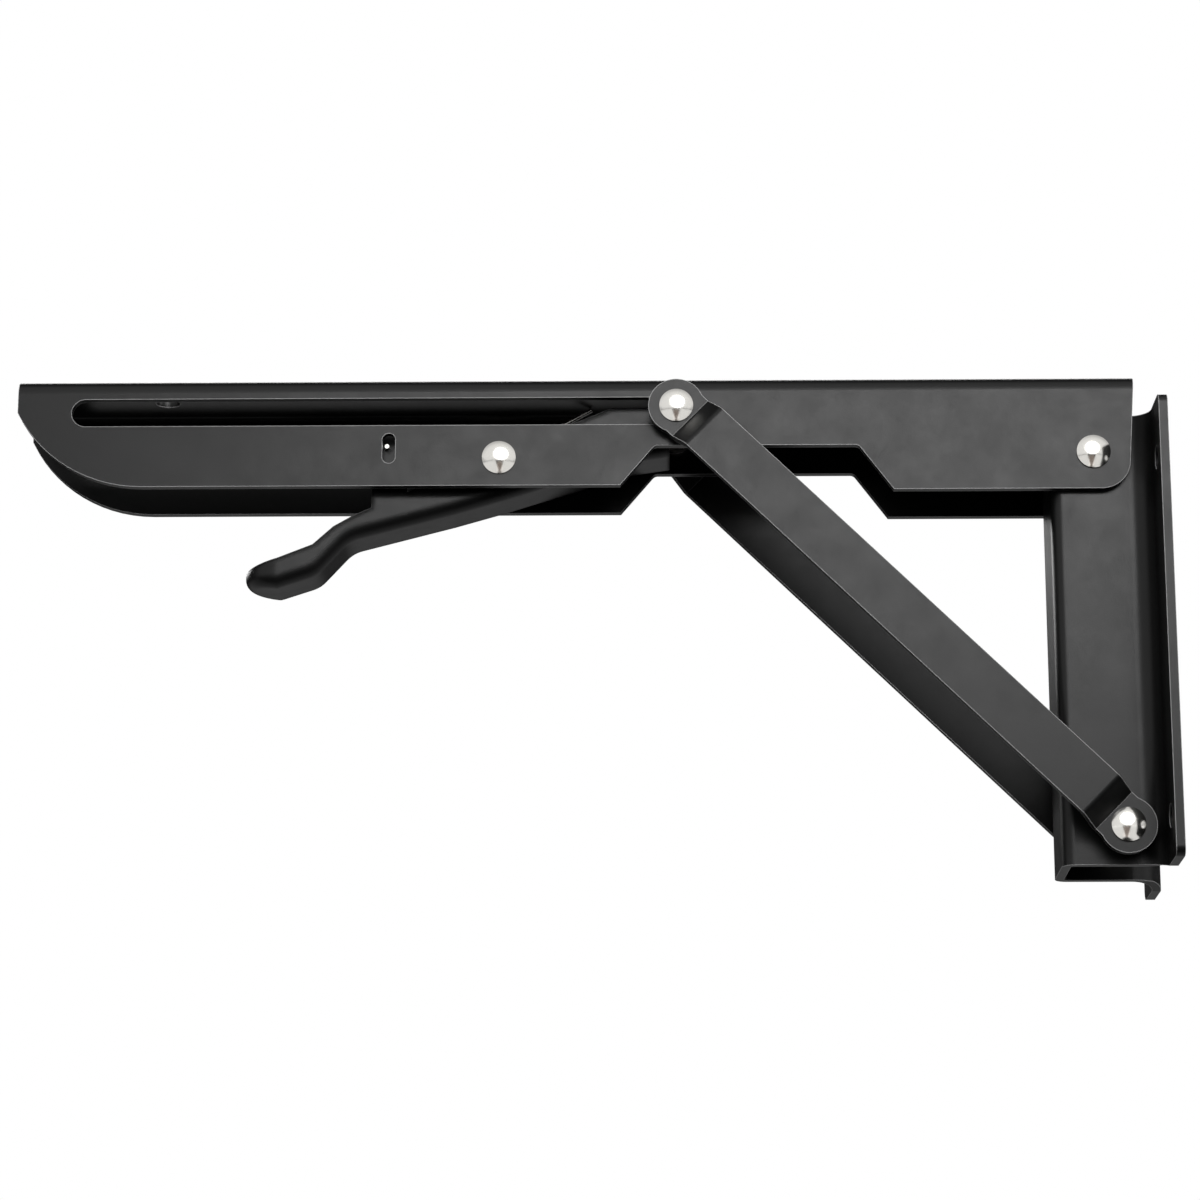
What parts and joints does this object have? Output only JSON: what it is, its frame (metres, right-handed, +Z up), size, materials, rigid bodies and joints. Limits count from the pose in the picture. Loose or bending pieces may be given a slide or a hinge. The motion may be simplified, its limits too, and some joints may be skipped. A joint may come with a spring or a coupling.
{
  "type": "folding shelf bracket",
  "caption": "Wall bracket for a fold-down shelf: a channel arm on a hat-section plate, struts that slide in slots, and a sprung release lever.",
  "frame": {"origin": "on the wall, in the middle of the four wall screws", "axes": "+Z up, +X into the wall, so the arm reaches out along -X; -Y is the side seen first"},
  "size_m": [0.254, 0.054, 0.1118],
  "materials": {
    "coated_steel": "dark grey satin powder coat",
    "rivet_steel": "bright polished",
    "bush_steel": "plain turned steel",
    "spring_steel": "drawn wire"
  },
  "bodies": {
    "wall": {"wall_plate": "coated_steel", "arm_pivot_rivet": "rivet_steel", "arm_pivot_sleeve": "bush_steel", "strut_pivot_rivet": "rivet_steel", "strut_pivot_sleeve": "bush_steel", "strut_pivot_washer_near": "bush_steel", "strut_pivot_washer_far": "bush_steel"},
    "arm": {"shelf_arm": "coated_steel", "lever_pivot_rivet": "rivet_steel", "lever_pivot_sleeve": "bush_steel", "lever_pivot_washer_near": "bush_steel", "lever_pivot_washer_far": "bush_steel"},
    "strut": {"strut_near": "coated_steel", "strut_far": "coated_steel", "slot_rivet_near": "rivet_steel", "slot_rivet_far": "rivet_steel"},
    "slot_pin": {"slot_bush_near": "bush_steel", "slot_bush_far": "bush_steel"},
    "lever": {"release_lever": "coated_steel", "lever_return_spring": "spring_steel"}
  },
  "joints": [
    {"name": "arm_fold", "type": "hinge", "parent": "wall", "child": "arm", "pos_m": [-0.0147, 0, 0.044], "axis": [0, -1, 0], "range_deg": [0, 90]},
    {"name": "strut_swing", "type": "hinge", "parent": "wall", "child": "strut", "pos_m": [-0.0104, 0, -0.0409], "axis": [0, -1, 0], "range_deg": [0, 128.42]},
    {"name": "slot_travel", "type": "slide", "parent": "arm", "child": "slot_pin", "axis": [-1, 0, 0], "range_m": [0, 0.12724]},
    {"name": "lever_release", "type": "hinge", "parent": "arm", "child": "lever", "pos_m": [-0.1465, 0, 0.0432], "axis": [0, 1, 0], "range_deg": [0, 15], "stiffness_Nm_per_rad": 0.4, "springref_deg": -20.05, "deforming": ["lever_return_spring"]}
  ],
  "couplings": [
    {"joint": "strut_swing", "follows": "arm_fold", "ratio": 1.4267},
    {"joint": "slot_travel", "follows": "arm_fold", "m_per_rad": 0.080998}
  ]
}
